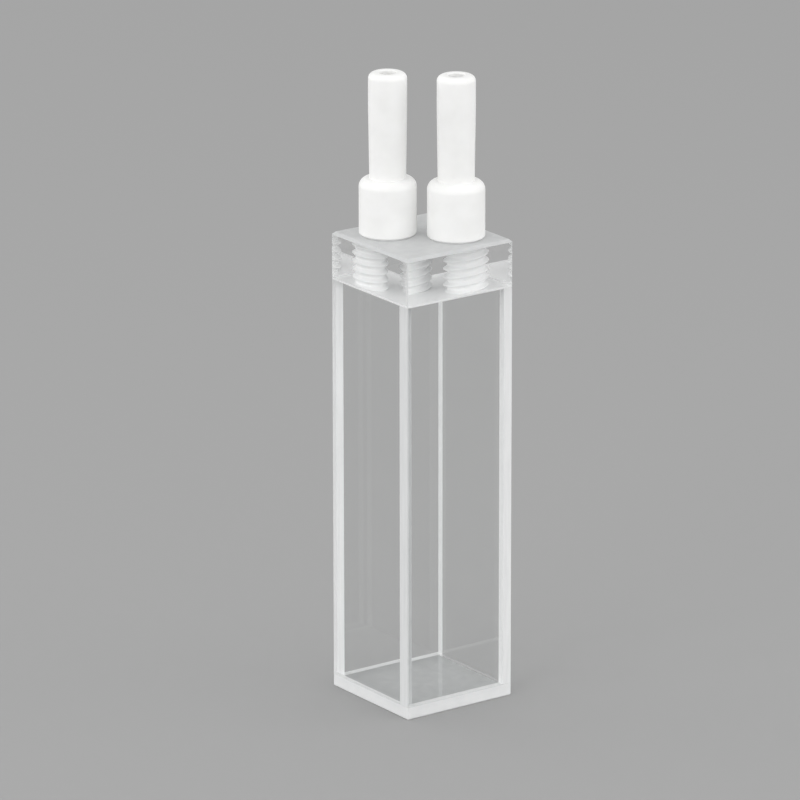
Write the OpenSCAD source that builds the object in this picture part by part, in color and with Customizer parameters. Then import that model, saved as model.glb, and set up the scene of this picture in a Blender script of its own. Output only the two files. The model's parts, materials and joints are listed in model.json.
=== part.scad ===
// Square flow-through cuvette: six pieces of optical glass bonded into a closed cell,
// with two tubing connectors screwed into its port block.
// Millimetres. +Z is up, and the origin is the centre of the foot.
// The front window faces -Y and the left window faces -X.

/* [Glass cell] */
// Outer width of the square cell
cell_w = 12.5; // [12:0.1:16]
// Height of the glass, from the foot to the top of the port block
glass_h = 46.5; // [30:0.5:60]
// Thickness of the front and back windows, which the light passes through
window_t = 1.25; // [1:0.05:1.5]
// Thickness of the left and right windows
side_t = 1.0; // [0.8:0.05:1.5]
// Thickness of the base plate
base_t = 1.3; // [1:0.1:2]
// Bevel ground along the cell's four upright edges, from the foot to the top
corner_bevel = 0.1; // [0.05:0.05:0.3]
// Bevel ground round the foot of the base plate
foot_bevel = 0.15; // [0.05:0.05:0.5]

/* [Port block] */
// Height of the port block
block_h = 4.8; // [4:0.1:8]
// Bevel ground round the top of the block
block_bevel = 0.3; // [0.1:0.05:0.6]
// Distance between the two ports, along the diagonal of the cell
port_pitch = 6.65; // [6.6:0.05:7.2]
// Outside diameter of the port thread
port_d = 5.0; // [4:0.1:5.2]

/* [Connectors] */
// Gap between the shank and the wall of its port
thread_gap = 0.06; // [0.02:0.01:0.1]
// How far the end of the shank stays above the bottom of the port
shank_lift = 0.3; // [0.1:0.1:1]
// Diameter of the collar
collar_d = 5.6; // [5.4:0.05:6.2]
// Height of the collar
collar_h = 5.65; // [4:0.05:8]
// Radius that rounds the shoulder of the collar
shoulder_r = 0.9; // [0.4:0.1:1.4]
// Bevel round the foot of the collar
collar_bevel = 0.2; // [0.05:0.05:0.25]
// Diameter of the stem where it leaves the collar
stem_root_d = 3.56; // [3.2:0.02:3.6]
// Diameter of the straight upper end of the stem
stem_d = 3.75; // [3.6:0.05:4]
// Height of the stem above the collar
stem_h = 10.4; // [6:0.1:16]
// Height of the straight upper end of the stem
stem_tip_h = 3.5; // [2:0.5:5]
// Radius that rounds the upper end of the stem
stem_round = 0.6; // [0.2:0.05:0.7]
// Diameter of the passage through each connector
bore_d = 1.7; // [1:0.1:2]

/* [Hidden] */

glass_colour = [0.82, 0.9, 0.92, 0.45];
ptfe_colour = [0.95, 0.95, 0.94];
smooth = 96;                             // sides of every round, which count as a true circle
arc_steps = 8;                           // straight stretches in a quarter of a rounded edge
eps = 0.01;                              // how far a cut runs past the face that it leaves

wall_z = base_t;                         // the windows stand on the base plate
wall_h = glass_h - base_t - block_h;     // and the port block stands on the windows
block_z = wall_z + wall_h;
port_xy = port_pitch / 2 / sqrt(2);      // the ports lie on the diagonal between -X+Y and +X-Y
inlet_at = [-port_xy, port_xy];
outlet_at = [port_xy, -port_xy];

shank_r = port_d / 2 - thread_gap;
shank_h = block_h - shank_lift;
collar_r = collar_d / 2;
root_r = stem_root_d / 2;
tip_r = stem_d / 2;
bore_r = bore_d / 2;
stem_top = collar_h + stem_h;
// The shoulder's arc is cut short where it meets the root of the stem
arc_end = acos(max(0, (root_r - collar_r + shoulder_r) / shoulder_r));

// Points of an arc about c, from angle a0 to a1
function arc(c, r, a0, a1) =
    [for (i = [0 : arc_steps]) let (a = a0 + (a1 - a0) * i / arc_steps) c + r * [cos(a), sin(a)]];

// Outline of one window seen from above: it lies along X with its outer face at y = 0 and its
// exposed end at x = 0, where its outer corner edge is bevelled
function window_outline(length, thickness) =
    [[corner_bevel, 0], [length, 0], [length, thickness], [0, thickness], [0, corner_bevel]];

// One window, from its outline to its full height
module window(length, thickness)
    color(glass_colour)
        linear_extrude(wall_h) polygon(window_outline(length, thickness));

// Square plate of the cell's width, with its upright edges bevelled
module square_plate(height) {
    a = cell_w / 2;
    b = a - corner_bevel;
    linear_extrude(height)
        polygon([[b, -a], [a, -b], [a, b], [b, a], [-b, a], [-a, b], [-a, -b], [-b, -a]]);
}

// Bar along Y whose cross-section has both of its upper edges bevelled
module bevelled_bar(height, bevel) {
    a = cell_w / 2;
    rotate([90, 0, 0])
        linear_extrude(cell_w + 2 * eps, center = true)
            polygon([[-a, 0], [a, 0], [a, height - bevel], [a - bevel, height],
                     [bevel - a, height], [-a, height - bevel]]);
}

// Square plate with its upright edges and its upper edges bevelled
module bevelled_plate(height, bevel)
    intersection() {
        square_plate(height);
        bevelled_bar(height, bevel);
        rotate(90) bevelled_bar(height, bevel);
    }

// The foot is bevelled below, so the plate is turned over
module base_plate()
    color(glass_colour)
        translate([0, 0, base_t]) mirror([0, 0, 1])
            bevelled_plate(base_t, foot_bevel);

// The four windows run round the cell in turn: each covers the end of the next one
module front_window()
    translate([-cell_w / 2, -cell_w / 2, wall_z]) window(cell_w - side_t, window_t);

module right_window()
    translate([cell_w / 2, -cell_w / 2, wall_z]) rotate(90) window(cell_w - window_t, side_t);

module back_window()
    translate([cell_w / 2, cell_w / 2, wall_z]) rotate(180) window(cell_w - side_t, window_t);

module left_window()
    translate([-cell_w / 2, cell_w / 2, wall_z]) rotate(270) window(cell_w - window_t, side_t);

// The block closes the cell and is bored through for its two ports
module port_block()
    color(glass_colour)
        translate([0, 0, block_z])
            difference() {
                bevelled_plate(block_h, block_bevel);
                for (at = [inlet_at, outlet_at])
                    translate([at.x, at.y, -eps])
                        cylinder(h = block_h + 2 * eps, d = port_d, $fn = smooth);
            }

// Half section of a connector, with its collar's foot at height 0
function connector_section() = concat(
    [[0, -shank_h], [shank_r, -shank_h], [shank_r, 0]],
    [[collar_r - collar_bevel, 0], [collar_r, collar_bevel]],
    arc([collar_r - shoulder_r, collar_h - shoulder_r], shoulder_r, 0, arc_end),
    [[root_r, collar_h], [tip_r, stem_top - stem_tip_h]],
    arc([tip_r - stem_round, stem_top - stem_round], stem_round, 0, 90),
    [[0, stem_top]]);

// Turned connector: threaded shank, collar that seats on the block, stem for push-on tubing
module connector(at)
    color(ptfe_colour)
        translate([at.x, at.y, glass_h])
            difference() {
                rotate_extrude($fn = smooth) polygon(connector_section());
                translate([0, 0, -shank_h - eps])
                    cylinder(h = shank_h + stem_top + 2 * eps, r = bore_r, $fn = smooth);
            }

module inlet_connector() connector(inlet_at);

module outlet_connector() connector(outlet_at);

base_plate();
front_window();
back_window();
left_window();
right_window();
port_block();
inlet_connector();
outlet_connector();
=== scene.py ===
"""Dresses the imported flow-through cuvette.

The cell is six plates of quartz glass. Each plate has polished faces and ground edges, so every
plate is built as a closed solid whose faces carry their own finish. The port block is tapped
right through, and the two white connectors are turned from one bar each and screwed into it.
Lengths are in metres. Angles are in radians, apart from those that place the lamps and the
camera, which are in degrees.
"""

from __future__ import annotations

import json
import logging
import math
from collections.abc import Callable, Iterable, Mapping, Sequence
from dataclasses import dataclass
from enum import Enum

import bmesh
import bpy
from mathutils import Matrix, Vector

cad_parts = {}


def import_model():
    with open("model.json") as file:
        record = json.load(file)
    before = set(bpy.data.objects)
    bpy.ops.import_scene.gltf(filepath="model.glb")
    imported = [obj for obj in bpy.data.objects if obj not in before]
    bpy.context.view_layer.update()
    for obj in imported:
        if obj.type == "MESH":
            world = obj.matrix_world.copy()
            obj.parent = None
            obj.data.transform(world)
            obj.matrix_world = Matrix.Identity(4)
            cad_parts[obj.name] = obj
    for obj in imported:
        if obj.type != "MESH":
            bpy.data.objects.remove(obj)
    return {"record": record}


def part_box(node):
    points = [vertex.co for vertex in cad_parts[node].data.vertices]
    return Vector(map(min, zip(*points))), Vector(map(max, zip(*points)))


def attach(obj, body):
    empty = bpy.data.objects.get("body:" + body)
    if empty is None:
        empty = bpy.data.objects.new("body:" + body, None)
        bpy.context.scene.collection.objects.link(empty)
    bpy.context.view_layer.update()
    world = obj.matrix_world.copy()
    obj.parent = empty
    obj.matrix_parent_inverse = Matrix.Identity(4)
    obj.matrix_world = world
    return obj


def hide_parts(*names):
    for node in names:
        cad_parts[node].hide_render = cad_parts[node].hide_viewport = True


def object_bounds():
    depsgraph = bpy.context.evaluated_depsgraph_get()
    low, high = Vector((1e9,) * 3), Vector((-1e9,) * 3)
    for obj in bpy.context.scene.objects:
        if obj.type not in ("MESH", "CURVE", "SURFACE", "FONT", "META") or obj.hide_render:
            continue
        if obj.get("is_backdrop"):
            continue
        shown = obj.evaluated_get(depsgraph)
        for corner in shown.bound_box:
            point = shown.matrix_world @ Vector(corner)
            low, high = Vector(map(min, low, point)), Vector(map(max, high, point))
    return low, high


LOG = logging.getLogger("cuvette")
MM = 0.001
ROOT_BODY = "root"
PITCH_M5 = 0.8 * MM
QUARTZ_IOR = 1.458
PLASTIC_IOR = 1.36
# How far a face is drawn back from the piece that it touches
JOINT_GAP = 0.008 * MM
# Places closer than this count as one
WELD = 1e-7
# Faces that turn by less than this from one to the next count as one flat face
FLAT_ANGLE = math.radians(0.5)
# Edges that turn by more than this are not shaded smooth
SHARP_ANGLE = math.radians(35)
# A face looks along an axis when that part of its normal is above this
FACING = 0.99
# A face is upright when the Z part of its normal is below this
UPRIGHT = 0.1
# Sides of everything that is round
COLUMNS = 96

Box = tuple[Vector, Vector]
Colour = tuple[float, float, float]
Profile = list[tuple[float, float]]


class Finish(Enum):
    """How a face of the cuvette is finished."""

    POLISHED = "polished_quartz"  # clear faces
    GROUND = "ground_quartz"  # windows' upper and lower edges, base's sides, block's lower arris
    EDGE = "edge_ground_quartz"  # windows' upright edges and bonded strips
    # Painted shade: this finish is the upright edge finish made darker, for the front window's exposed end
    # and the block's upright bevels
    SHADED_EDGE = "edge_quartz_painted_shade"  # front window's exposed end, block's upright bevels
    BONDED = "bonded_quartz"  # front window's bonded strip
    LAPPED = "lapped_quartz"  # top of the block
    # Painted shade: the underside of the base is made darker than the other ground faces
    FOOT = "underside_quartz_painted_shade"  # underside of the base
    # The block's frosted underside and tapped threads are real finishes, made lighter than the other ground
    # faces: painted light for the light caught inside the block
    FROSTED = "frosted_quartz_painted_light"  # underside of the block
    TAPPED = "tapped_quartz_painted_light"  # threads in the block
    TURNED = "turned_white_plastic"  # connectors


def plain_grey(value: float) -> tuple[float, float, float, float]:
    """Gives a grey as a shader's colour."""
    return value, value, value, 1.0


def direction(azimuth: float, elevation: float) -> Vector:
    """Works out the way from the object to a lamp or to the camera.

    Args:
        azimuth: Degrees round the object from -Y towards +X.
        elevation: Degrees above the floor.

    Returns:
        A vector of length 1.
    """
    turn, rise = math.radians(azimuth), math.radians(elevation)
    return Vector((math.sin(turn) * math.cos(rise), -math.cos(turn) * math.cos(rise), math.sin(rise)))


# --------------------------------------
# Materials
# --------------------------------------


class Nodes:
    """A short hand for building one node tree."""

    # Nearly all values of a noise lie between these
    NOISE_RANGE = (0.32, 0.68)

    def __init__(self, tree: bpy.types.NodeTree) -> None:
        """Empties the tree.

        Args:
            tree: The node tree to build in.
        """
        self.tree = tree
        tree.nodes.clear()

    def add(
        self, kind: str, inputs: Mapping[str | int, object] | None = None, **settings: object
    ) -> bpy.types.Node:
        """Adds a node.

        Args:
            kind: The node's class, such as "ShaderNodeBump".
            inputs: What goes into its inputs: a socket is linked, and any other value is set.
            settings: Attributes to set on it, such as operation="ADD".

        Returns:
            The new node.
        """
        node = self.tree.nodes.new(kind)
        for name, value in settings.items():
            setattr(node, name, value)
        for name, value in (inputs or {}).items():
            if isinstance(value, bpy.types.NodeSocket):
                self.tree.links.new(value, node.inputs[name])
            else:
                node.inputs[name].default_value = value
        return node

    def maths(self, operation: str, *values: object, clamp: bool = False) -> bpy.types.NodeSocket:
        """Adds a Math node.

        Args:
            operation: What it does, such as "MULTIPLY".
            values: Its inputs, as sockets or numbers.
            clamp: Whether its result is kept between 0 and 1.

        Returns:
            Its result.
        """
        inputs = dict(enumerate(values))
        return self.add("ShaderNodeMath", inputs, operation=operation, use_clamp=clamp).outputs[0]

    def noise(
        self, scale: float, detail: float, roughness: float = 0.5, drawn_out: float = 1.0
    ) -> bpy.types.NodeSocket:
        """Adds noise that is fixed to the object.

        Args:
            scale: Features per metre.
            detail: Octaves of finer noise.
            roughness: Weight of the finer octaves.
            drawn_out: How many times taller than wide the features are.

        Returns:
            The noise's value, from 0 to 1.
        """
        place = self.add("ShaderNodeTexCoord").outputs["Object"]
        squeeze = {"Vector": place, "Scale": (1.0, 1.0, 1.0 / drawn_out)}
        stretch = self.add("ShaderNodeMapping", squeeze, vector_type="POINT").outputs["Vector"]
        shape = {"Vector": stretch, "Scale": scale, "Detail": detail, "Roughness": roughness}
        return self.add("ShaderNodeTexNoise", shape).outputs["Fac"]

    def blend(self, share: bpy.types.NodeSocket, low: Colour, high: Colour) -> bpy.types.NodeSocket:
        """Adds a ramp from one colour to another over the middle of a noise.

        Args:
            share: The noise.
            low: Colour where the noise is low.
            high: Colour where the noise is high.

        Returns:
            The blended colour.
        """
        ramp = self.add("ShaderNodeValToRGB", {"Fac": share})
        for stop, place, colour in zip(ramp.color_ramp.elements, self.NOISE_RANGE, (low, high)):
            stop.position = place
            stop.color = (*colour, 1.0)
        return ramp.outputs["Color"]

    def bump(self, height: bpy.types.NodeSocket, depth: float, strength: float) -> bpy.types.NodeSocket:
        """Adds a bump.

        Args:
            height: The height map, from 0 to 1.
            depth: Depth of the relief in metres.
            strength: Share of the relief that shows.

        Returns:
            The bumped normal.
        """
        relief = {"Height": height, "Distance": depth, "Strength": strength}
        return self.add("ShaderNodeBump", relief).outputs["Normal"]

    def mix(
        self, share: bpy.types.NodeSocket | float, first: bpy.types.NodeSocket, second: bpy.types.NodeSocket
    ) -> bpy.types.NodeSocket:
        """Mixes two shaders, where the share is the second one's."""
        return self.add("ShaderNodeMixShader", {"Fac": share, 1: first, 2: second}).outputs["Shader"]

    def let_light_past(
        self,
        surface: bpy.types.NodeSocket,
        colour: Colour,
        share: float,
        kinds: Sequence[str] = ("Is Shadow Ray",),
    ) -> bpy.types.NodeSocket:
        """Lets a share of the lamps' light pass the surface, as light that goes through glass does.

        Args:
            surface: The shader that the eye meets.
            colour: Tint of the light that passes.
            share: Share of the light that passes, from 0 to 1.
            kinds: The rays that pass.

        Returns:
            The finished shader.
        """
        path = self.add("ShaderNodeLightPath")
        tint = (*(c * share for c in colour), 1.0)
        clear = self.add("ShaderNodeBsdfTransparent", {"Color": tint}).outputs["BSDF"]
        for kind in kinds:
            surface = self.mix(path.outputs[kind], surface, clear)
        return surface

    def finish(self, surface: bpy.types.NodeSocket, kind: str = "Material") -> None:
        """Sends a shader to the output of a material or a world."""
        self.add("ShaderNodeOutput" + kind, {"Surface": surface})


class Recipe:
    """A way to make one kind of material."""

    def build(self, name: str) -> bpy.types.Material:
        """Builds the material.

        Args:
            name: Name of the material.

        Returns:
            The new material.
        """
        material = bpy.data.materials.new(name)
        material.use_nodes = True
        nodes = Nodes(material.node_tree)
        nodes.finish(self.surface(nodes))
        return material

    def surface(self, nodes: Nodes) -> bpy.types.NodeSocket:
        """Adds the material's nodes and gives its shader."""
        raise NotImplementedError


@dataclass(frozen=True)
class PolishedQuartz(Recipe):
    """Optically polished quartz: clear, colourless, with the faintest trace of wiping.

    Attributes:
        tint: Colour of the glass.
        wiped: Colour of the glass where it was wiped.
        wiping: Wiped patches per metre.
        passes: Share of the lamps' and the surroundings' light that goes through.
    """

    tint: Colour = (0.997, 0.999, 0.998)
    wiped: Colour = (0.985, 0.989, 0.988)
    wiping: float = 260.0
    passes: float = 0.97

    def surface(self, nodes: Nodes) -> bpy.types.NodeSocket:
        """Adds clear glass that lets light through to other faces.

        Args:
            nodes: The material's nodes.

        Returns:
            The shader.
        """
        colour = nodes.blend(nodes.noise(self.wiping, detail=3.0), self.wiped, self.tint)
        glass = {"Base Color": colour, "Roughness": 0.0, "IOR": QUARTZ_IOR, "Transmission Weight": 1.0}
        shader = nodes.add("ShaderNodeBsdfPrincipled", glass).outputs["BSDF"]
        return nodes.let_light_past(shader, self.tint, self.passes, ("Is Diffuse Ray", "Is Shadow Ray"))


@dataclass(frozen=True)
class GroundQuartz(Recipe):
    """Quartz ground with fine grit: white, matt and a little translucent.

    Attributes:
        bright: Its lightest colour.
        dull: Its darkest colour.
        roughness: Roughness of its shine.
        shine: Strength of its shine, where 0.5 is that of plain glass.
        glow: Share of it that is lit from behind.
        mirror: Share of it that only shines, like a face seen from inside the glass.
        passes: Share of the lamps' light that goes through.
        clouds: Light and dark patches per metre.
        drawn_out: How many times taller than wide the patches are.
        grain: Grains of its relief per metre.
        grain_depth: Depth of the relief.
        grain_strength: Share of the relief that shows.
    """

    bright: Colour
    dull: Colour
    roughness: float = 0.45
    shine: float = 0.5
    glow: float = 0.35
    mirror: float = 0.0
    passes: float = 0.5
    clouds: float = 900.0
    drawn_out: float = 1.0
    grain: float = 9000.0
    grain_depth: float = 0.012 * MM
    grain_strength: float = 0.6

    def surface(self, nodes: Nodes) -> bpy.types.NodeSocket:
        """Adds a matt face with light behind it.

        Args:
            nodes: The material's nodes.

        Returns:
            The shader.
        """
        clouds = nodes.noise(self.clouds, detail=4.0, roughness=0.6, drawn_out=self.drawn_out)
        colour = nodes.blend(clouds, self.dull, self.bright)
        grain = nodes.bump(nodes.noise(self.grain, detail=2.0), self.grain_depth, self.grain_strength)
        matt = {
            "Base Color": colour,
            "Roughness": self.roughness,
            "IOR": QUARTZ_IOR,
            "Specular IOR Level": self.shine,
            "Normal": grain,
        }
        face = nodes.add("ShaderNodeBsdfPrincipled", matt).outputs["BSDF"]
        inside = nodes.add("ShaderNodeBsdfTranslucent", {"Color": colour}).outputs["BSDF"]
        surface = nodes.mix(self.glow, face, inside)
        if self.mirror > 0.0:
            shiny = {"Color": (*self.bright, 1.0), "Roughness": self.roughness, "Normal": grain}
            gloss = nodes.add("ShaderNodeBsdfAnisotropic", shiny).outputs["BSDF"]
            surface = nodes.mix(self.mirror, surface, gloss)
        return nodes.let_light_past(surface, self.bright, self.passes)


@dataclass(frozen=True)
class LinedQuartz(GroundQuartz):
    """Quartz ground along an upright edge, which leaves fine upright lines."""

    clouds: float = 2600.0
    drawn_out: float = 14.0


@dataclass(frozen=True)
class TurnedPlastic(Recipe):
    """White fluoropolymer, turned on a lathe: waxy, with soft tool rings.

    Attributes:
        bright: Its lightest colour.
        dull: Its darkest colour.
        clouds: Light and dark patches per metre.
        roughness: Roughness of its shine.
        wax: Share of the light that spreads under its surface.
        spread: How far that light spreads.
        ring_pitch: Distance from one tool ring to the next.
        ring_depth: Depth of the rings.
        ring_strength: Share of the rings that shows.
        ring_waver: How unevenly the rings run.
    """

    bright: Colour = (0.935, 0.935, 0.925)
    dull: Colour = (0.9, 0.9, 0.89)
    clouds: float = 500.0
    roughness: float = 0.42
    wax: float = 0.25
    spread: float = 0.5 * MM
    ring_pitch: float = 0.88 * MM
    ring_depth: float = 0.006 * MM
    ring_strength: float = 0.5
    ring_waver: float = 0.6

    # Radians of the wave per metre in a wave texture of scale 1
    WAVE_TURN = 20.0

    def surface(self, nodes: Nodes) -> bpy.types.NodeSocket:
        """Adds waxy plastic with rings about the Z axis.

        Args:
            nodes: The material's nodes.

        Returns:
            The shader.
        """
        wave = {
            "Vector": nodes.add("ShaderNodeTexCoord").outputs["Object"],
            "Scale": math.tau / (self.WAVE_TURN * self.ring_pitch),
            "Distortion": self.ring_waver,
            "Detail": 2.0,
            "Detail Scale": 3.0,
        }
        rings = nodes.add("ShaderNodeTexWave", wave, bands_direction="Z").outputs["Fac"]
        plastic = {
            "Base Color": nodes.blend(nodes.noise(self.clouds, detail=3.0), self.dull, self.bright),
            "Roughness": self.roughness,
            "IOR": PLASTIC_IOR,
            "Normal": nodes.bump(rings, self.ring_depth, self.ring_strength),
            "Subsurface Weight": self.wax,
            "Subsurface Radius": (1.0, 1.0, 0.95),
            "Subsurface Scale": self.spread,
        }
        return nodes.add("ShaderNodeBsdfPrincipled", plastic).outputs["BSDF"]


@dataclass(frozen=True)
class FloorPaper(Recipe):
    """Pale paper that fades into the surroundings far from the object.

    Attributes:
        grey: The grey that the surroundings show.
        paper: Share of that grey that the paper has.
        near: Distance from the object at which it starts to fade.
        far: Distance at which it has faded.
    """

    grey: float
    paper: float = 0.88
    near: float = 0.25
    far: float = 0.7

    def surface(self, nodes: Nodes) -> bpy.types.NodeSocket:
        """Adds paper near the object and the surroundings' grey beyond it.

        Args:
            nodes: The material's nodes.

        Returns:
            The shader.
        """
        shade = plain_grey(self.grey * self.paper)
        paper = nodes.add("ShaderNodeBsdfDiffuse", {"Color": shade}).outputs["BSDF"]
        haze = nodes.add("ShaderNodeEmission", {"Color": plain_grey(self.grey)}).outputs["Emission"]
        place = nodes.add("ShaderNodeTexCoord").outputs["Object"]
        reach = nodes.add("ShaderNodeVectorMath", {0: place}, operation="LENGTH").outputs["Value"]
        limits = {"Value": reach, "From Min": self.near, "From Max": self.far}
        fade = nodes.add("ShaderNodeMapRange", limits, interpolation_type="SMOOTHSTEP")
        return nodes.mix(fade.outputs["Result"], paper, haze)


class FinishShelf:
    """Holds one material for each finish and makes it when it is first asked for."""

    RECIPES: dict[Finish, Recipe] = {
        Finish.POLISHED: PolishedQuartz(),
        Finish.GROUND: GroundQuartz((0.93, 0.933, 0.933), (0.89, 0.895, 0.896)),
        Finish.EDGE: LinedQuartz((0.94, 0.943, 0.943), (0.88, 0.885, 0.886)),
        # Painted shade: the upright edge finish made darker
        Finish.SHADED_EDGE: LinedQuartz((0.81, 0.818, 0.818), (0.76, 0.768, 0.77)),
        # Darker than the bonded strips of the other windows, which use the upright edge finish
        Finish.BONDED: LinedQuartz((0.67, 0.68, 0.68), (0.59, 0.6, 0.603), roughness=0.5),
        Finish.LAPPED: GroundQuartz((0.74, 0.748, 0.748), (0.68, 0.689, 0.692)),
        # Painted shade: the base's underside made darker than the other ground faces
        Finish.FOOT: GroundQuartz((0.67, 0.68, 0.68), (0.59, 0.6, 0.605), glow=0.3),
        # Frosted and tapped faces: real finishes, made lighter as painted light for the light caught inside
        # the block
        Finish.FROSTED: GroundQuartz((0.99, 0.993, 0.993), (0.95, 0.954, 0.955), glow=0.1, mirror=0.2),
        Finish.TAPPED: GroundQuartz((0.99, 0.993, 0.993), (0.97, 0.974, 0.975), glow=0.1, mirror=0.15),
        Finish.TURNED: TurnedPlastic(),
    }

    def __init__(self) -> None:
        """Starts with no materials."""
        self.made: dict[Finish, bpy.types.Material] = {}

    def material(self, finish: Finish) -> bpy.types.Material:
        """Gives the material of a finish.

        Args:
            finish: The finish.

        Returns:
            Its material, the same one each time.
        """
        if finish not in self.made:
            self.made[finish] = self.RECIPES[finish].build(finish.value)
        return self.made[finish]


# --------------------------------------
# Mesh building
# --------------------------------------


class Solid:
    """A closed mesh in the making, whose faces each carry a finish."""

    def __init__(self, finishes: Sequence[Finish]) -> None:
        """Starts an empty mesh.

        Args:
            finishes: The finishes that its faces may have, in the order of the material slots.
        """
        self.finishes = list(finishes)
        self.bm = bmesh.new()

    def vertex(self, place: Iterable[float]) -> bmesh.types.BMVert:
        """Adds a vertex."""
        return self.bm.verts.new(tuple(place))

    def paint(self, faces: Iterable[bmesh.types.BMFace], finish: Finish) -> None:
        """Gives faces a finish."""
        for face in faces:
            face.material_index = self.finishes.index(finish)

    def face(self, corners: Sequence[bmesh.types.BMVert], finish: Finish) -> None:
        """Adds a face with a finish, from its vertices in order."""
        self.paint([self.bm.faces.new(corners)], finish)

    def loft(self, rings: Sequence[Sequence[bmesh.types.BMVert]], finish: Finish) -> None:
        """Skins closed rings with the same number of vertices, from each to the next.

        Args:
            rings: The rings, in order.
            finish: The finish of the skin.
        """
        for low, high in zip(rings, rings[1:]):
            count = len(low)
            for i in range(count):
                j = (i + 1) % count
                self.face([low[i], low[j], high[j], high[i]], finish)

    def hull(self, corners: Iterable[Vector]) -> None:
        """Wraps points in flat faces.

        Args:
            corners: The corners of a convex solid.
        """
        made = [self.vertex(corner) for corner in corners]
        bmesh.ops.remove_doubles(self.bm, verts=made, dist=WELD)
        bmesh.ops.convex_hull(self.bm, input=list(self.bm.verts))
        verts, edges = list(self.bm.verts), list(self.bm.edges)
        bmesh.ops.dissolve_limit(self.bm, angle_limit=FLAT_ANGLE, verts=verts, edges=edges)

    def dress(self, choose: Callable[[bmesh.types.BMFace], Finish]) -> None:
        """Gives each face the finish that is chosen for it.

        Args:
            choose: Gives the finish of a face.
        """
        self.bm.normal_update()
        for face in self.bm.faces:
            self.paint([face], choose(face))

    def to_piece(
        self, node: str, shelf: FinishShelf, rounded: Iterable[Finish] = ()
    ) -> bpy.types.Object:
        """Turns the mesh into the piece that stands for a CAD node.

        Args:
            node: The CAD node that it replaces.
            shelf: Where the materials come from.
            rounded: The finishes whose faces are turned or tapped, and so are shaded smooth.

        Returns:
            The piece, linked to the scene.
        """
        bmesh.ops.recalc_face_normals(self.bm, faces=list(self.bm.faces))
        smooth = {self.finishes.index(finish) for finish in rounded}
        name = node + "_dressed"
        mesh = bpy.data.meshes.new(name)
        self.bm.to_mesh(mesh)
        self.bm.free()
        for finish in self.finishes:
            mesh.materials.append(shelf.material(finish))
        mesh.set_sharp_from_angle(angle=SHARP_ANGLE)
        for polygon in mesh.polygons:
            polygon.use_smooth = polygon.material_index in smooth
        piece = bpy.data.objects.new(name, mesh)
        bpy.context.scene.collection.objects.link(piece)
        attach(piece, ROOT_BODY)
        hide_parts(node)
        return piece


def bevel_levels(edge: float, inwards: float, bevel: float, corner: float) -> Profile:
    """Works out where a square plate's bevel changes width.

    Args:
        edge: Height of the face that the bevel runs round.
        inwards: 1 if the rest of the plate is above that face, and -1 if it is below.
        bevel: Size of the bevel.
        corner: Bevel along the plate's upright edges.

    Returns:
        How far the plate is set in, and the height, at each level from the face on.
    """
    fade = min(corner / 2, bevel)
    return [(inset, edge + inwards * (bevel - inset)) for inset in (bevel, fade, 0.0)]


def plate_corners(half: float, corner: float, levels: Profile) -> list[Vector]:
    """Works out the corners of a square plate with bevelled upright edges.

    Args:
        half: Half of its width.
        corner: Bevel along its upright edges.
        levels: How far it is set in, and the height, at each level.

    Returns:
        The corners, some of them more than once.
    """
    corners: list[Vector] = []
    for inset, height in levels:
        width = half - inset
        reach = min(width, 2 * half - corner - width)
        for x_sign in (-1, 1):
            for y_sign in (-1, 1):
                corners.append(Vector((x_sign * width, y_sign * reach, height)))
                corners.append(Vector((x_sign * reach, y_sign * width, height)))
    return corners


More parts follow.
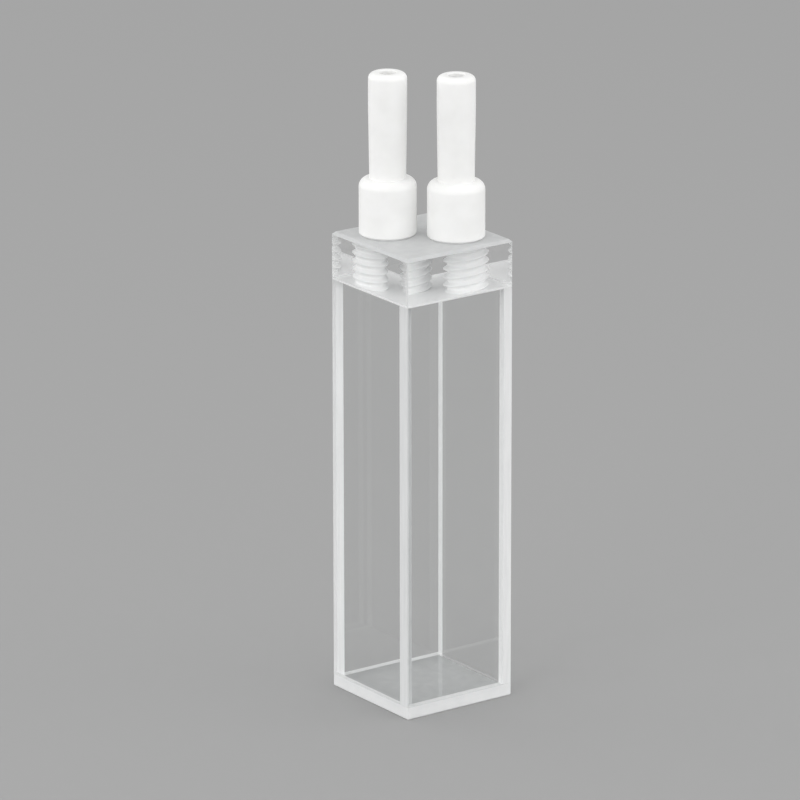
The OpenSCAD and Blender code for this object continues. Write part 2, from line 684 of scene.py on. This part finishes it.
class ThreadTree:
    """The Geometry Nodes tree that winds the wall of a screw thread round the Z axis."""

    INPUTS = {
        "Float": ("Root Radius", "Crest Radius", "Pitch", "Length", "Foot", "Root Flat", "Crest Flat"),
        "Int": ("Columns", "Rows"),
        "Material": ("Material",),
    }
    # The grid lies about the origin, from minus this to this
    HALF_GRID = 0.5

    def __init__(self) -> None:
        """Builds the tree, with an input for each size of the thread."""
        self.tree = tree = bpy.data.node_groups.new("screw_thread", "GeometryNodeTree")
        for kind, names in self.INPUTS.items():
            for name in names:
                tree.interface.new_socket(name=name, in_out="INPUT", socket_type="NodeSocket" + kind)
        tree.interface.new_socket(name="Wall", in_out="OUTPUT", socket_type="NodeSocketGeometry")
        nodes = Nodes(tree)
        add, maths = nodes.add, nodes.maths
        sizes = add("NodeGroupInput").outputs

        # A flat grid, one unit each way: X becomes the turn and Y the height
        columns, rows = (maths("ADD", sizes[name], 1.0) for name in self.INPUTS["Int"])
        grid = add("GeometryNodeMeshGrid", {"Vertices X": columns, "Vertices Y": rows}).outputs["Mesh"]
        place = add("ShaderNodeSeparateXYZ", {0: add("GeometryNodeInputPosition").outputs[0]}).outputs
        turn, share_up = (maths("ADD", place[axis], self.HALF_GRID) for axis in "XY")
        height = maths("MULTIPLY_ADD", share_up, sizes["Length"], sizes["Foot"])

        # How far the point is from the root towards the crest, along the helix that passes it
        winding = maths("SUBTRACT", maths("DIVIDE", height, sizes["Pitch"]), turn)
        flank = {
            "Value": maths("PINGPONG", winding, 0.5),
            "From Min": maths("MULTIPLY", sizes["Root Flat"], 0.5),
            "From Max": maths("MULTIPLY_ADD", sizes["Crest Flat"], -0.5, 0.5),
        }
        share_out = add("ShaderNodeMapRange", flank).outputs["Result"]
        depth = maths("SUBTRACT", sizes["Crest Radius"], sizes["Root Radius"])
        radius = maths("MULTIPLY_ADD", share_out, depth, sizes["Root Radius"])

        angle = maths("MULTIPLY", turn, math.tau)
        wound = {"Z": height}
        for axis, operation in (("X", "COSINE"), ("Y", "SINE")):
            wound[axis] = maths("MULTIPLY", maths(operation, angle), radius)
        places = add("ShaderNodeCombineXYZ", wound).outputs["Vector"]
        wall = add("GeometryNodeSetPosition", {"Geometry": grid, "Position": places}).outputs["Geometry"]
        seam = add("GeometryNodeMergeByDistance", {"Geometry": wall, "Distance": WELD}).outputs["Geometry"]
        real = add("GeometryNodeRealizeInstances", {"Geometry": seam}).outputs["Geometry"]
        paint = add("GeometryNodeSetMaterial", {"Geometry": real, "Material": sizes["Material"]})
        add("NodeGroupOutput", {0: paint.outputs["Geometry"]})


@dataclass(frozen=True)
class ScrewThread:
    """The wall of a screw thread: a tube whose radius rises and falls along a helix.

    Attributes:
        root_radius: Its smallest radius.
        crest_radius: Its largest radius.
        foot: Height of its lower end.
        top: Height of its upper end.
        pitch: Rise of one turn.
        root_flat: Share of the pitch that keeps the root radius.
        crest_flat: Share of the pitch that keeps the crest radius.
        rows_per_turn: Rows of faces in one pitch.
    """

    root_radius: float
    crest_radius: float
    foot: float
    top: float
    pitch: float = PITCH_M5
    root_flat: float = 0.25
    crest_flat: float = 0.14
    rows_per_turn: int = 16

    def wall(self, tree: ThreadTree, material: bpy.types.Material) -> bpy.types.Mesh:
        """Winds the thread.

        Args:
            tree: The Geometry Nodes tree.
            material: The wall's material.

        Returns:
            A mesh that is open at both ends, about the Z axis.
        """
        length = self.top - self.foot
        values = {
            "Root Radius": self.root_radius,
            "Crest Radius": self.crest_radius,
            "Pitch": self.pitch,
            "Length": length,
            "Foot": self.foot,
            "Root Flat": self.root_flat,
            "Crest Flat": self.crest_flat,
            "Columns": COLUMNS,
            "Rows": round(self.rows_per_turn * length / self.pitch),
            "Material": material,
        }
        carrier = bpy.data.objects.new("thread_carrier", bpy.data.meshes.new("thread_carrier"))
        bpy.context.scene.collection.objects.link(carrier)
        modifier = carrier.modifiers.new("thread", "NODES")
        modifier.node_group = tree.tree
        for item in modifier.node_group.interface.items_tree:
            if item.in_out == "INPUT":
                modifier[item.identifier] = values[item.name]
        graph = bpy.context.evaluated_depsgraph_get()
        wall = bpy.data.meshes.new_from_object(carrier.evaluated_get(graph), depsgraph=graph)
        carrier.modifiers.remove(modifier)
        bpy.data.objects.remove(carrier)
        return wall


def ring_at(verts: Iterable[bmesh.types.BMVert], height: float, centre: Vector) -> list[bmesh.types.BMVert]:
    """Finds the vertices at one height and sorts them by their angle about a centre.

    Args:
        verts: The vertices to look through.
        height: The height.
        centre: A point on the ring's axis.

    Returns:
        The ring, counter-clockwise from +X.
    """

    def angle(vert: bmesh.types.BMVert) -> float:
        """The vertex's angle about the centre, from half a side below 0 to a full turn."""
        turn = math.atan2(vert.co.y - centre.y, vert.co.x - centre.x)
        return turn if turn > -math.pi / COLUMNS else turn + math.tau

    return sorted((v for v in verts if abs(v.co.z - height) < WELD), key=angle)


def add_wall(
    solid: Solid, thread: ScrewThread, tree: ThreadTree, shelf: FinishShelf, finish: Finish, centre: Vector
) -> list[bmesh.types.BMVert]:
    """Adds a thread's wall to a solid.

    Args:
        solid: The solid.
        thread: The thread.
        tree: The Geometry Nodes tree.
        shelf: Where the wall's material comes from.
        finish: The wall's finish.
        centre: A point on the thread's axis.

    Returns:
        The wall's vertices.
    """
    wall = thread.wall(tree, shelf.material(finish))
    wall.transform(Matrix.Translation((centre.x, centre.y, 0.0)))
    old_faces, old_verts = set(solid.bm.faces), set(solid.bm.verts)
    solid.bm.from_mesh(wall)
    solid.paint((face for face in solid.bm.faces if face not in old_faces), finish)
    bpy.data.meshes.remove(wall)
    return [vert for vert in solid.bm.verts if vert not in old_verts]


# --------------------------------------
# The cuvette's pieces
# --------------------------------------


class Quarter(Enum):
    """Which way a window faces, as the number of quarter turns from -Y."""

    FRONT = 0
    RIGHT = 1
    BACK = 2
    LEFT = 3


@dataclass
class Window:
    """One upright plate of the cell, with polished faces and ground edges.

    Attributes:
        node: The CAD node that it stands for.
        side: The way that it faces.
        strip: Width of the strip of its inner face that the next plate's end is bonded to.
        joint: Finish of that strip.
        end: Finish of its exposed end and of the bevel there.
        foot: Finish of its lower edge.
        bevel: Bevel along the outer corner of its exposed end.
        arris: Bevel along the outer corner of its bonded end.
    """

    node: str
    side: Quarter
    strip: float
    joint: Finish = Finish.EDGE
    end: Finish = Finish.EDGE
    foot: Finish = Finish.GROUND
    bevel: float = 0.1 * MM
    arris: float = 0.04 * MM

    def outline(self, length: float, thickness: float) -> list[tuple[float, float, Finish]]:
        """Draws the plate from above.

        Args:
            length: Its length, along X from its exposed end.
            thickness: Its thickness, inwards along Y.

        Returns:
            Each corner, and the finish of the face that leaves it.
        """
        far = length - JOINT_GAP
        return [
            (self.bevel, 0.0, Finish.POLISHED),
            (far - self.arris, 0.0, Finish.EDGE),
            (far, self.arris, Finish.EDGE),
            (far, thickness, Finish.POLISHED),
            (self.strip, thickness, self.joint),
            (0.0, thickness, self.end),
            (0.0, self.bevel, self.end),
        ]

    def placement(self, box: Box) -> tuple[Matrix, float, float]:
        """Works out where the plate goes.

        Args:
            box: The CAD node's box.

        Returns:
            The turn and shift from the outline to the cell, the length and the thickness.
        """
        low, high = box
        size = high - low
        starts = {
            Quarter.FRONT: (low.x, low.y),
            Quarter.RIGHT: (high.x, low.y),
            Quarter.BACK: (high.x, high.y),
            Quarter.LEFT: (low.x, high.y),
        }
        along_x = self.side in (Quarter.FRONT, Quarter.BACK)
        length, thickness = (size.x, size.y) if along_x else (size.y, size.x)
        turn = Matrix.Rotation(self.side.value * math.pi / 2, 4, "Z")
        return Matrix.Translation((*starts[self.side], 0.0)) @ turn, length, thickness

    def build(self, shelf: FinishShelf) -> bpy.types.Object:
        """Builds the plate in its place.

        Args:
            shelf: Where the materials come from.

        Returns:
            The plate.
        """
        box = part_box(self.node)
        to_cell, length, thickness = self.placement(box)
        outline = self.outline(length, thickness)
        used = {finish for _, _, finish in outline} | {Finish.GROUND, self.foot}
        solid = Solid([finish for finish in Finish if finish in used])
        low, high = (
            [solid.vertex(to_cell @ Vector((x, y, z))) for x, y, _ in outline]
            for z in (box[0].z + JOINT_GAP, box[1].z - JOINT_GAP)
        )
        for i, (_, _, finish) in enumerate(outline):
            j = (i + 1) % len(outline)
            solid.face([low[i], low[j], high[j], high[i]], finish)
        solid.face(high, Finish.GROUND)
        solid.face(low[::-1], self.foot)
        return solid.to_piece(self.node, shelf)


@dataclass
class BasePlate:
    """The square plate under the windows: polished above, ground at its sides and below, where its darker
    colour is painted shade.
    """

    node: str = "base_plate"
    corner: float = 0.1 * MM
    bevel: float = 0.15 * MM

    @staticmethod
    def choose(face: bmesh.types.BMFace) -> Finish:
        """Picks a face's finish by the way it faces.

        Args:
            face: The face.

        Returns:
            Its finish.
        """
        if abs(face.normal.z) < FACING:
            return Finish.GROUND
        # The underside gets the darker finish that paints shade on it
        return Finish.POLISHED if face.normal.z > 0 else Finish.FOOT

    def build(self, shelf: FinishShelf) -> bpy.types.Object:
        """Builds the plate in its place.

        Args:
            shelf: Where the materials come from.

        Returns:
            The plate.
        """
        low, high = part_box(self.node)
        solid = Solid((Finish.POLISHED, Finish.GROUND, Finish.FOOT))
        levels = [*bevel_levels(low.z, 1.0, self.bevel, self.corner), (0.0, high.z - JOINT_GAP)]
        solid.hull(plate_corners(high.x, self.corner, levels))
        solid.dress(self.choose)
        return solid.to_piece(self.node, shelf)


@dataclass
class PortBlock:
    """The thick square plate that closes the cell, tapped right through for the connectors.

    Its sides are polished, with upright bevels in a darker edge finish that paints shade on them. Its top
    is lapped, with the bevel round it.
    Its underside is frosted, and the narrow arris round that is ground.
    """

    ports: tuple[Vector, Vector]
    node: str = "port_block"
    corner: float = 0.1 * MM
    bevel: float = 0.3 * MM
    arris_depth: float = 0.04 * MM
    arris_height: float = 0.18 * MM
    minor_radius: float = 2.07 * MM
    major_radius: float = 2.5 * MM

    FINISHES = (
        Finish.POLISHED,
        Finish.GROUND,
        Finish.SHADED_EDGE,
        Finish.LAPPED,
        Finish.FROSTED,
        Finish.TAPPED,
    )

    @staticmethod
    def choose(face: bmesh.types.BMFace) -> Finish:
        """Picks an outer face's finish by the way it faces.

        Args:
            face: The face.

        Returns:
            Its finish.
        """
        if max(abs(face.normal.x), abs(face.normal.y)) > FACING:
            return Finish.POLISHED
        # Upright bevels get the darker edge finish, which paints shade on them
        if abs(face.normal.z) < UPRIGHT:
            return Finish.SHADED_EDGE
        return Finish.GROUND if face.normal.z < 0 else Finish.LAPPED

    def build(self, shelf: FinishShelf, tree: ThreadTree) -> bpy.types.Object:
        """Builds the block in its place.

        Args:
            shelf: Where the materials come from.
            tree: The Geometry Nodes tree that winds the threads.

        Returns:
            The block.
        """
        low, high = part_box(self.node)
        foot, top = low.z + JOINT_GAP, high.z
        solid = Solid(self.FINISHES)
        levels = [*bevel_levels(top, -1.0, self.bevel, self.corner), (0.0, foot + self.arris_height)]
        solid.hull(plate_corners(high.x, self.corner, [*levels, (self.arris_depth, foot)]))
        solid.dress(self.choose)
        lids = [face for face in solid.bm.faces if abs(face.normal.z) > FACING]
        bmesh.ops.delete(solid.bm, geom=lids, context="FACES_ONLY")
        thread = ScrewThread(self.minor_radius, self.major_radius, foot, top)
        for port in self.ports:
            add_wall(solid, thread, tree, shelf, Finish.TAPPED, port)
        self.close(solid, foot, -1.0, Finish.FROSTED)
        self.close(solid, top, 1.0, Finish.LAPPED)
        return solid.to_piece(self.node, shelf, rounded=(Finish.TAPPED,))

    @staticmethod
    def close(solid: Solid, height: float, up: float, finish: Finish) -> None:
        """Fills one end of the block round its two ports.

        Args:
            solid: The block.
            height: Height of the end.
            up: 1 for the upper end and -1 for the lower one.
            finish: The end's finish.
        """
        rim = [
            edge
            for edge in solid.bm.edges
            if edge.is_boundary and all(abs(v.co.z - height) < WELD for v in edge.verts)
        ]
        normal = Vector((0.0, 0.0, up))
        filled = bmesh.ops.triangle_fill(solid.bm, use_beauty=True, edges=rim, normal=normal)
        solid.paint((item for item in filled["geom"] if isinstance(item, bmesh.types.BMFace)), finish)


@dataclass
class Connector:
    """A tubing connector turned from one bar: threaded shank, collar, stem and passage.

    Attributes:
        node: The CAD node that it stands for.
        axis: A point on its axis.
        seat: Height of the block's top, which its collar rests on.
        stem_radius: Radius of the stem's straight upper end.
        stem_foot: Height at which that straight end starts.
        bore_radius: Radius of the passage.
        shoulder: Radius that rounds the collar's top.
        root_radius: Radius of the stem where it leaves the collar.
        root_height: Height above the collar at which the stem's taper starts.
        tip_round: Radius that rounds the stem's end.
        mouth_bevel: Bevel round both ends of the passage and round the shank's end.
        lead: Height of the plain taper under the thread.
        arc_steps: Straight stretches in a rounding.
    """

    node: str
    axis: Vector
    seat: float
    stem_radius: float
    stem_foot: float
    bore_radius: float
    collar_radius: float = 2.8 * MM
    collar_height: float = 5.65 * MM
    shoulder: float = 0.9 * MM
    foot_bevel: float = 0.2 * MM
    root_radius: float = 1.78 * MM
    root_height: float = 0.1 * MM
    tip_round: float = 0.6 * MM
    mouth_bevel: float = 0.08 * MM
    thread_root: float = 1.98 * MM
    thread_crest: float = 2.44 * MM
    lead: float = 0.35 * MM
    arc_steps: int = 10

    @classmethod
    def from_record(cls, record: dict, side: str) -> Connector:
        """Takes a connector's fitting sizes from the record's mounts.

        Args:
            record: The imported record.
            side: "inlet" or "outlet".

        Returns:
            The connector, not yet built.
        """
        mounts = {item["name"]: item for item in record["mounts"]}
        stem, bore = mounts[side + "_stem"], mounts[side + "_bore"]
        straight = stem["dims"]["length_mm"] * MM
        return cls(
            node=side + "_connector",
            axis=Vector((stem["pos_m"][0], stem["pos_m"][1], 0.0)),
            seat=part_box("port_block")[1].z,
            stem_radius=stem["dims"]["r_mm"] * MM,
            stem_foot=stem["pos_m"][2] - straight / 2,
            bore_radius=bore["dims"]["r_mm"] * MM,
        )

    def arc(self, radius: float, height: float, round_by: float, last: float) -> Profile:
        """Draws an outer edge's rounding.

        Args:
            radius: Radius of the turned part below the rounding.
            height: Height of its upper face.
            round_by: Radius of the rounding.
            last: Angle at which it ends, where a quarter turn is a full rounding.

        Returns:
            Its points as radius and height, from below.
        """
        angles = (last * i / self.arc_steps for i in range(self.arc_steps + 1))
        return [
            (radius - round_by + round_by * math.cos(a), height - round_by + round_by * math.sin(a))
            for a in angles
        ]

    def outside(self, top: float) -> Profile:
        """Draws the profile from the collar's seat to the stem's end and into the passage.

        Args:
            top: Height of the stem's end.

        Returns:
            The profile's points as radius and height.
        """
        collar_top = self.seat + self.collar_height
        last = math.acos((self.root_radius - self.collar_radius + self.shoulder) / self.shoulder)
        return [
            (self.collar_radius - self.foot_bevel, self.seat + JOINT_GAP),
            (self.collar_radius, self.seat + self.foot_bevel),
            *self.arc(self.collar_radius, collar_top, self.shoulder, last),
            (self.root_radius, collar_top + self.root_height),
            (self.stem_radius, self.stem_foot),
            *self.arc(self.stem_radius, top, self.tip_round, math.pi / 2),
            (self.bore_radius + self.mouth_bevel, top),
            (self.bore_radius, top - self.mouth_bevel),
        ]

    def ring(self, solid: Solid, radius: float, height: float) -> list[bmesh.types.BMVert]:
        """Adds one ring of vertices about the connector's axis.

        Args:
            solid: The connector.
            radius: The ring's radius.
            height: Its height.

        Returns:
            The ring, counter-clockwise from +X.
        """
        x, y = self.axis.x, self.axis.y
        angles = (math.tau * i / COLUMNS for i in range(COLUMNS))
        return [solid.vertex((x + radius * math.cos(a), y + radius * math.sin(a), height)) for a in angles]

    def build(self, shelf: FinishShelf, tree: ThreadTree) -> bpy.types.Object:
        """Builds the connector in its place.

        Args:
            shelf: Where the material comes from.
            tree: The Geometry Nodes tree that winds the thread.

        Returns:
            The connector.
        """
        low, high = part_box(self.node)
        thread = ScrewThread(self.thread_root, self.thread_crest, low.z + self.lead, self.seat)
        solid = Solid((Finish.TURNED,))
        wall = add_wall(solid, thread, tree, shelf, Finish.TURNED, self.axis)
        profile = [
            *self.outside(high.z),
            (self.bore_radius, low.z + self.mouth_bevel),
            (self.bore_radius + self.mouth_bevel, low.z),
            (self.thread_root - self.mouth_bevel, low.z),
        ]
        rings = [self.ring(solid, radius, height) for radius, height in profile]
        upper, lower = (ring_at(wall, height, self.axis) for height in (thread.top, thread.foot))
        solid.loft([upper, *rings, lower], Finish.TURNED)
        return solid.to_piece(self.node, shelf, rounded=(Finish.TURNED,))


# --------------------------------------
# The studio
# --------------------------------------


@dataclass
class SoftBox:
    """A square area lamp that is aimed at the object."""

    name: str
    azimuth: float
    elevation: float
    watts: float
    distance: float = 0.8
    size: float = 0.6

    def build(self, target: Vector) -> None:
        """Hangs the lamp.

        Args:
            target: The point that it is aimed at.
        """
        lamp = bpy.data.lights.new(self.name, "AREA")
        lamp.shape = "SQUARE"
        lamp.size = self.size
        lamp.energy = self.watts
        holder = bpy.data.objects.new(self.name, lamp)
        bpy.context.scene.collection.objects.link(holder)
        back = direction(self.azimuth, self.elevation)
        holder.location = target + back * self.distance
        holder.rotation_mode = "QUATERNION"
        holder.rotation_quaternion = back.to_track_quat("Z", "Y")
        holder.visible_transmission = False


@dataclass
class Studio:
    """Pale floor, even surroundings and soft lamps.

    Attributes:
        grey: The grey that the surroundings show.
        ambient: Strength of the even light that they give.
        floor_radius: Radius of the floor.
        air: Gap under the object, so that it shares no plane with the floor.
    """

    grey: float = 0.42
    ambient: float = 0.83
    floor_radius: float = 6.0
    air: float = 0.01 * MM

    def floor(self) -> None:
        """Lays the floor."""
        maker = bmesh.new()
        bmesh.ops.create_circle(maker, cap_ends=True, segments=COLUMNS, radius=self.floor_radius)
        mesh = bpy.data.meshes.new("floor")
        maker.to_mesh(mesh)
        maker.free()
        mesh.materials.append(FloorPaper(self.grey).build("floor_paper"))
        made = bpy.data.objects.new("floor", mesh)
        made.location.z = -self.air
        bpy.context.scene.collection.objects.link(made)
        made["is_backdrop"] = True

    def surroundings(self) -> None:
        """Sets the world: a plain grey where it is seen, and a plain ambient light."""
        world = bpy.data.worlds.new("surroundings")
        bpy.context.scene.world = world
        world.use_nodes = True
        nodes = Nodes(world.node_tree)
        path = nodes.add("ShaderNodeLightPath").outputs
        light, seen = (
            nodes.add("ShaderNodeBackground", {"Color": plain_grey(grey), "Strength": strength})
            for grey, strength in ((1.0, self.ambient), (self.grey, 1.0))
        )
        direct = nodes.maths("MAXIMUM", path["Is Camera Ray"], path["Is Transmission Ray"])
        either = nodes.maths("MAXIMUM", direct, path["Is Glossy Ray"])
        looked_at = nodes.maths("SUBTRACT", either, path["Is Diffuse Ray"], clamp=True)
        surface = nodes.mix(looked_at, light.outputs["Background"], seen.outputs["Background"])
        nodes.finish(surface, "World")

    def lamps(self, target: Vector) -> None:
        """Hangs the lamps round the object.

        Args:
            target: The point that they are aimed at.
        """
        for lamp in (
            SoftBox("back_left_lamp", azimuth=-150, elevation=10, watts=1.55),
            SoftBox("left_lamp", azimuth=-80, elevation=20, watts=2.05),
            SoftBox("front_lamp", azimuth=0, elevation=20, watts=0.8),
            SoftBox("right_lamp", azimuth=45, elevation=18, watts=1.7),
        ):
            lamp.build(target)


@dataclass
class Camera:
    """The camera, placed by its angles round the object's middle.

    Attributes:
        azimuth: Degrees round the object from -Y towards +X.
        elevation: Degrees above the floor.
        roll: Degrees that it is turned about its own view.
        distance: Distance from the object's middle.
        right_of_middle: How far it is moved to its right.
        above_middle: How far it is moved up.
        lens: Focal length in millimetres.
        sensor: Width of the sensor in millimetres.
        reach: The nearest and the farthest distance that it sees.
    """

    azimuth: float = -35.813
    elevation: float = 17.42
    roll: float = -0.077
    distance: float = 659.0 * MM
    right_of_middle: float = -2.13 * MM
    above_middle: float = -1.34 * MM
    lens: float = 306.15
    sensor: float = 36.0
    reach: tuple[float, float] = (0.01, 50.0)

    def build(self, middle: Vector) -> None:
        """Sets the camera up and makes it the scene's own.

        Args:
            middle: The middle of the object's box.
        """
        back = direction(self.azimuth, self.elevation)
        level = back.to_track_quat("Z", "Y")
        facing = level @ Matrix.Rotation(math.radians(self.roll), 3, "Z").to_quaternion()
        right, above = facing @ Vector((1, 0, 0)), facing @ Vector((0, 1, 0))
        data = bpy.data.cameras.new("camera")
        data.lens = self.lens
        data.sensor_width = self.sensor
        data.clip_start, data.clip_end = self.reach
        holder = bpy.data.objects.new("camera", data)
        bpy.context.scene.collection.objects.link(holder)
        shift = right * self.right_of_middle + above * self.above_middle
        holder.location = middle + back * self.distance + shift
        holder.rotation_mode = "QUATERNION"
        holder.rotation_quaternion = facing
        bpy.context.scene.camera = holder


def main() -> None:
    """Builds the cuvette, piece by piece, and the studio round it."""
    logging.basicConfig(level=logging.INFO, format="%(name)s: %(message)s")
    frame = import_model()
    cad_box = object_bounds()
    bpy.context.scene.view_settings.view_transform = "Standard"

    shelf, tree = FinishShelf(), ThreadTree()
    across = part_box("left_window")[1].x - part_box("left_window")[0].x
    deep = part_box("front_window")[1].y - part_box("front_window")[0].y
    connectors = [Connector.from_record(frame["record"], side) for side in ("inlet", "outlet")]
    windows = (
        # The front window's exposed end gets the darker edge finish, which paints shade on it
        Window("front_window", Quarter.FRONT, across, joint=Finish.BONDED, end=Finish.SHADED_EDGE),
        Window("right_window", Quarter.RIGHT, deep, foot=Finish.POLISHED),
        Window("back_window", Quarter.BACK, across),
        Window("left_window", Quarter.LEFT, deep),
    )
    pieces = [
        BasePlate().build(shelf),
        *(window.build(shelf) for window in windows),
        PortBlock((connectors[0].axis, connectors[1].axis)).build(shelf, tree),
        *(connector.build(shelf, tree) for connector in connectors),
    ]
    for piece in pieces:
        LOG.info("%s: %d faces", piece.name, len(piece.data.polygons))

    middle = (cad_box[0] + cad_box[1]) / 2
    studio = Studio()
    studio.floor()
    studio.surroundings()
    studio.lamps(middle)
    Camera().build(middle)


if __name__ == "__main__":
    main()
